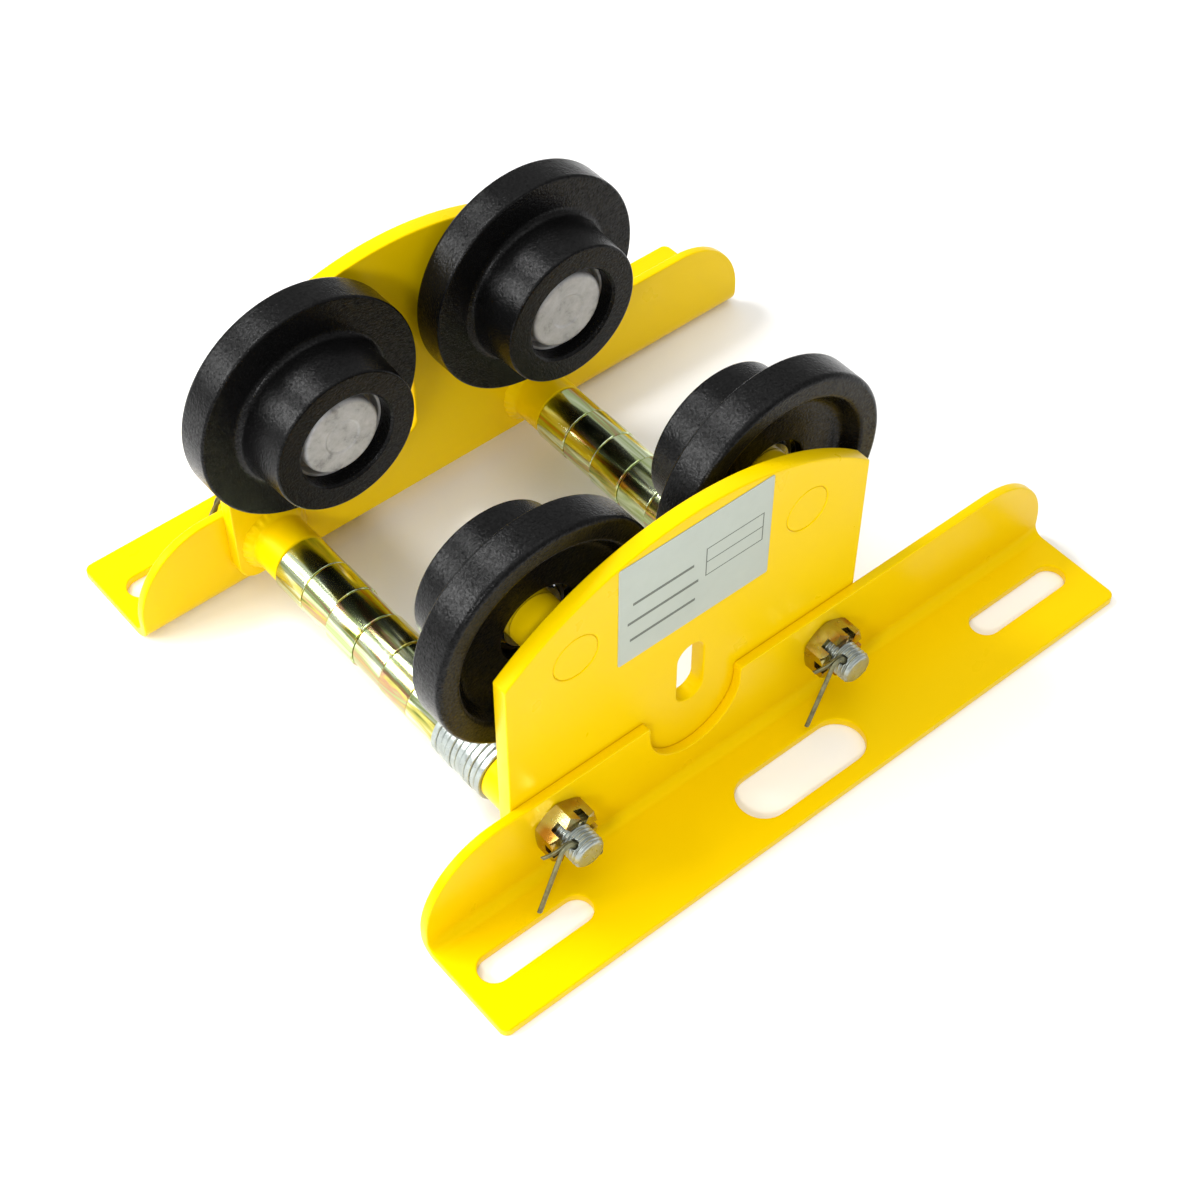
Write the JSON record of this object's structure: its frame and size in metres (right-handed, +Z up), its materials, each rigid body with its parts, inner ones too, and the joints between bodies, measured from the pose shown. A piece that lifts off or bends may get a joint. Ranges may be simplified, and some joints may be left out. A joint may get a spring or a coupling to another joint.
{
  "type": "manual beam trolley",
  "caption": "Push-travel trolley that runs on the lower flange of an I-beam on flanged wheels and carries a hoist on slotted angle brackets.",
  "frame": {"origin": "on the ground, in the middle of the two brackets' footprint", "axes": "+X along the beam, +Y across the beam towards the back, +Z up; the label is on the front, -Y"},
  "size_m": [0.275, 0.244, 0.1365],
  "materials": {
    "yellow_paint": "gloss",
    "black_paint": "satin",
    "bright_steel": "satin",
    "bearing_steel": "polished",
    "pressed_steel": "satin",
    "spring_steel": "dark",
    "dull_steel": "dull",
    "white_zinc": "zinc plated",
    "pale_gold_zinc": "yellow passivated zinc",
    "gold_zinc": "yellow passivated zinc",
    "label_film": "matt"
  },
  "bodies": {
    "frame": {"front_side_plate": "yellow_paint", "front_bracket": "yellow_paint", "back_side_plate": "yellow_paint", "back_bracket": "yellow_paint", "label_plate": "label_film", "left_tie_bolt": "white_zinc", "left_spacer_tubes": "pale_gold_zinc", "left_washers": "white_zinc", "right_tie_bolt": "white_zinc", "right_spacer_tubes": "pale_gold_zinc", "right_washers": "white_zinc", "front_left_bearing_inner_ring": "bearing_steel", "front_left_axle": "yellow_paint", "front_left_axle_circlip": "spring_steel", "front_left_boss": "yellow_paint", "front_left_castle_nut": "gold_zinc", "front_left_split_pin": "dull_steel", "front_right_bearing_inner_ring": "bearing_steel", "front_right_axle": "yellow_paint", "front_right_axle_circlip": "spring_steel", "front_right_boss": "yellow_paint", "front_right_castle_nut": "gold_zinc", "front_right_split_pin": "dull_steel", "back_left_bearing_inner_ring": "bearing_steel", "back_left_axle": "yellow_paint", "back_left_axle_circlip": "spring_steel", "back_left_boss": "yellow_paint", "back_left_castle_nut": "gold_zinc", "back_left_split_pin": "dull_steel", "back_right_bearing_inner_ring": "bearing_steel", "back_right_axle": "yellow_paint", "back_right_axle_circlip": "spring_steel", "back_right_boss": "yellow_paint", "back_right_castle_nut": "gold_zinc", "back_right_split_pin": "dull_steel"},
    "front_left_wheel": {"front_left_wheel": "black_paint", "front_left_dust_cap": "bright_steel", "front_left_wheel_circlip": "spring_steel", "front_left_bearing_outer_ring": "bearing_steel"},
    "front_left_balls": {"front_left_bearing_balls": "bearing_steel", "front_left_bearing_cage": "pressed_steel"},
    "front_right_wheel": {"front_right_wheel": "black_paint", "front_right_dust_cap": "bright_steel", "front_right_wheel_circlip": "spring_steel", "front_right_bearing_outer_ring": "bearing_steel"},
    "front_right_balls": {"front_right_bearing_balls": "bearing_steel", "front_right_bearing_cage": "pressed_steel"},
    "back_left_wheel": {"back_left_wheel": "black_paint", "back_left_dust_cap": "bright_steel", "back_left_wheel_circlip": "spring_steel", "back_left_bearing_outer_ring": "bearing_steel"},
    "back_left_balls": {"back_left_bearing_balls": "bearing_steel", "back_left_bearing_cage": "pressed_steel"},
    "back_right_wheel": {"back_right_wheel": "black_paint", "back_right_dust_cap": "bright_steel", "back_right_wheel_circlip": "spring_steel", "back_right_bearing_outer_ring": "bearing_steel"},
    "back_right_balls": {"back_right_bearing_balls": "bearing_steel", "back_right_bearing_cage": "pressed_steel"}
  },
  "joints": [
    {"name": "front_left_wheel_spin", "type": "hinge", "parent": "frame", "child": "front_left_wheel", "pos_m": [-0.074, -0.0545, 0.0945], "axis": [0, 1, 0], "continuous": true},
    {"name": "front_left_balls_orbit", "type": "hinge", "parent": "frame", "child": "front_left_balls", "pos_m": [-0.074, -0.0535, 0.0945], "axis": [0, 1, 0], "continuous": true},
    {"name": "front_right_wheel_spin", "type": "hinge", "parent": "frame", "child": "front_right_wheel", "pos_m": [0.019, -0.0545, 0.0945], "axis": [0, 1, 0], "continuous": true},
    {"name": "front_right_balls_orbit", "type": "hinge", "parent": "frame", "child": "front_right_balls", "pos_m": [0.019, -0.0535, 0.0945], "axis": [0, 1, 0], "continuous": true},
    {"name": "back_left_wheel_spin", "type": "hinge", "parent": "frame", "child": "back_left_wheel", "pos_m": [-0.074, 0.0545, 0.0945], "axis": [0, 1, 0], "continuous": true},
    {"name": "back_left_balls_orbit", "type": "hinge", "parent": "frame", "child": "back_left_balls", "pos_m": [-0.074, 0.0535, 0.0945], "axis": [0, 1, 0], "continuous": true},
    {"name": "back_right_wheel_spin", "type": "hinge", "parent": "frame", "child": "back_right_wheel", "pos_m": [0.019, 0.0545, 0.0945], "axis": [0, 1, 0], "continuous": true},
    {"name": "back_right_balls_orbit", "type": "hinge", "parent": "frame", "child": "back_right_balls", "pos_m": [0.019, 0.0535, 0.0945], "axis": [0, 1, 0], "continuous": true}
  ],
  "couplings": [
    {"joint": "front_left_balls_orbit", "follows": "front_left_wheel_spin", "ratio": 0.619},
    {"joint": "front_right_balls_orbit", "follows": "front_right_wheel_spin", "ratio": 0.619},
    {"joint": "back_left_balls_orbit", "follows": "back_left_wheel_spin", "ratio": 0.619},
    {"joint": "back_right_balls_orbit", "follows": "back_right_wheel_spin", "ratio": 0.619}
  ]
}
